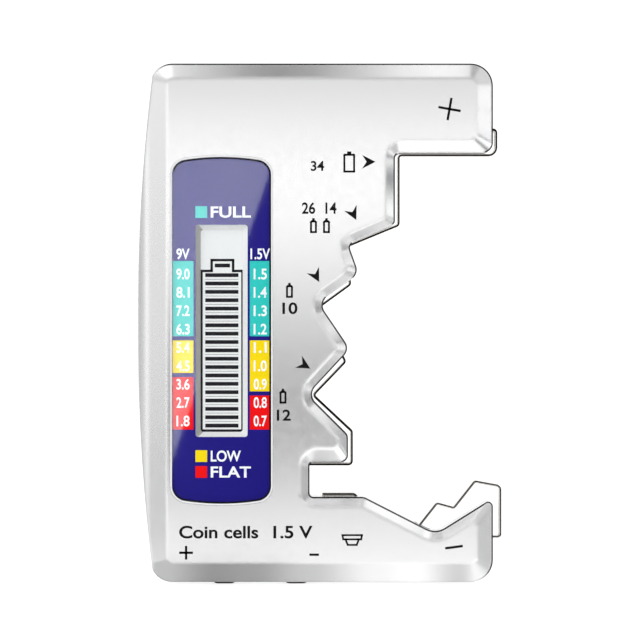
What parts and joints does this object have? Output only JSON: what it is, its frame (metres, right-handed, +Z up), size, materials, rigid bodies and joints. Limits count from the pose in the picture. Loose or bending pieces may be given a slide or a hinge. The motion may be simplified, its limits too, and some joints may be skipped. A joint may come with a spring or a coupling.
{
  "type": "battery tester",
  "caption": "Pocket battery tester: bowed plastic case with a stepped bay for round cells, a slot for button cells, snap contacts under it and a bar display behind a printed scale.",
  "frame": {"origin": "centre of the outer box in X and Y, at the level of the undersides of the two snap contacts on which the tester stands", "axes": "+Z runs up the height of the case, -Y out of the face with the display, +X towards the battery bay, away from the bowed grip"},
  "size_m": [0.0654, 0.022, 0.0934],
  "materials": {
    "case_plastic": "pearl white moulded plastic, satin",
    "screw_steel": "zinc plated",
    "lens_clear": "clear polished plastic",
    "label_film": "printed film",
    "lcd_glass": "pale grey reflective display glass",
    "holder_plastic": "moulded",
    "zebra_rubber": "striped silicone connector",
    "board_laminate": "green solder mask",
    "potting": "black potting",
    "resistor_body": "black ceramic with tinned ends",
    "capacitor_body": "tan ceramic with tinned ends",
    "contact_metal": "nickel plated spring sheet",
    "wire_red": "insulated wire",
    "wire_black": "insulated wire"
  },
  "bodies": {
    "case": {"front_shell": "case_plastic", "rear_shell": "case_plastic", "case_screws": "screw_steel", "display_lens": "lens_clear", "scale_label": "label_film", "lcd_panel": "lcd_glass", "lcd_holder": "holder_plastic", "zebra_strips": "zebra_rubber", "circuit_board": "board_laminate", "controller_chip": "potting", "smd_resistors": "resistor_body", "smd_capacitors": "capacitor_body", "board_screws": "screw_steel", "positive_strip": "contact_metal", "button_cell_plate": "contact_metal", "nine_volt_contact_positive": "contact_metal", "nine_volt_contact_negative": "contact_metal", "wire_nine_volt_positive": "wire_red", "wire_nine_volt_negative": "wire_black", "wire_positive": "wire_red", "wire_negative": "wire_black"},
    "spring": {"negative_spring": "contact_metal"}
  },
  "joints": [
    {"name": "negative_spring_press", "type": "slide", "parent": "case", "child": "spring", "axis": [0, 0, -1], "range_m": [0, 0.0018], "stiffness_N_per_m": 1200}
  ]
}
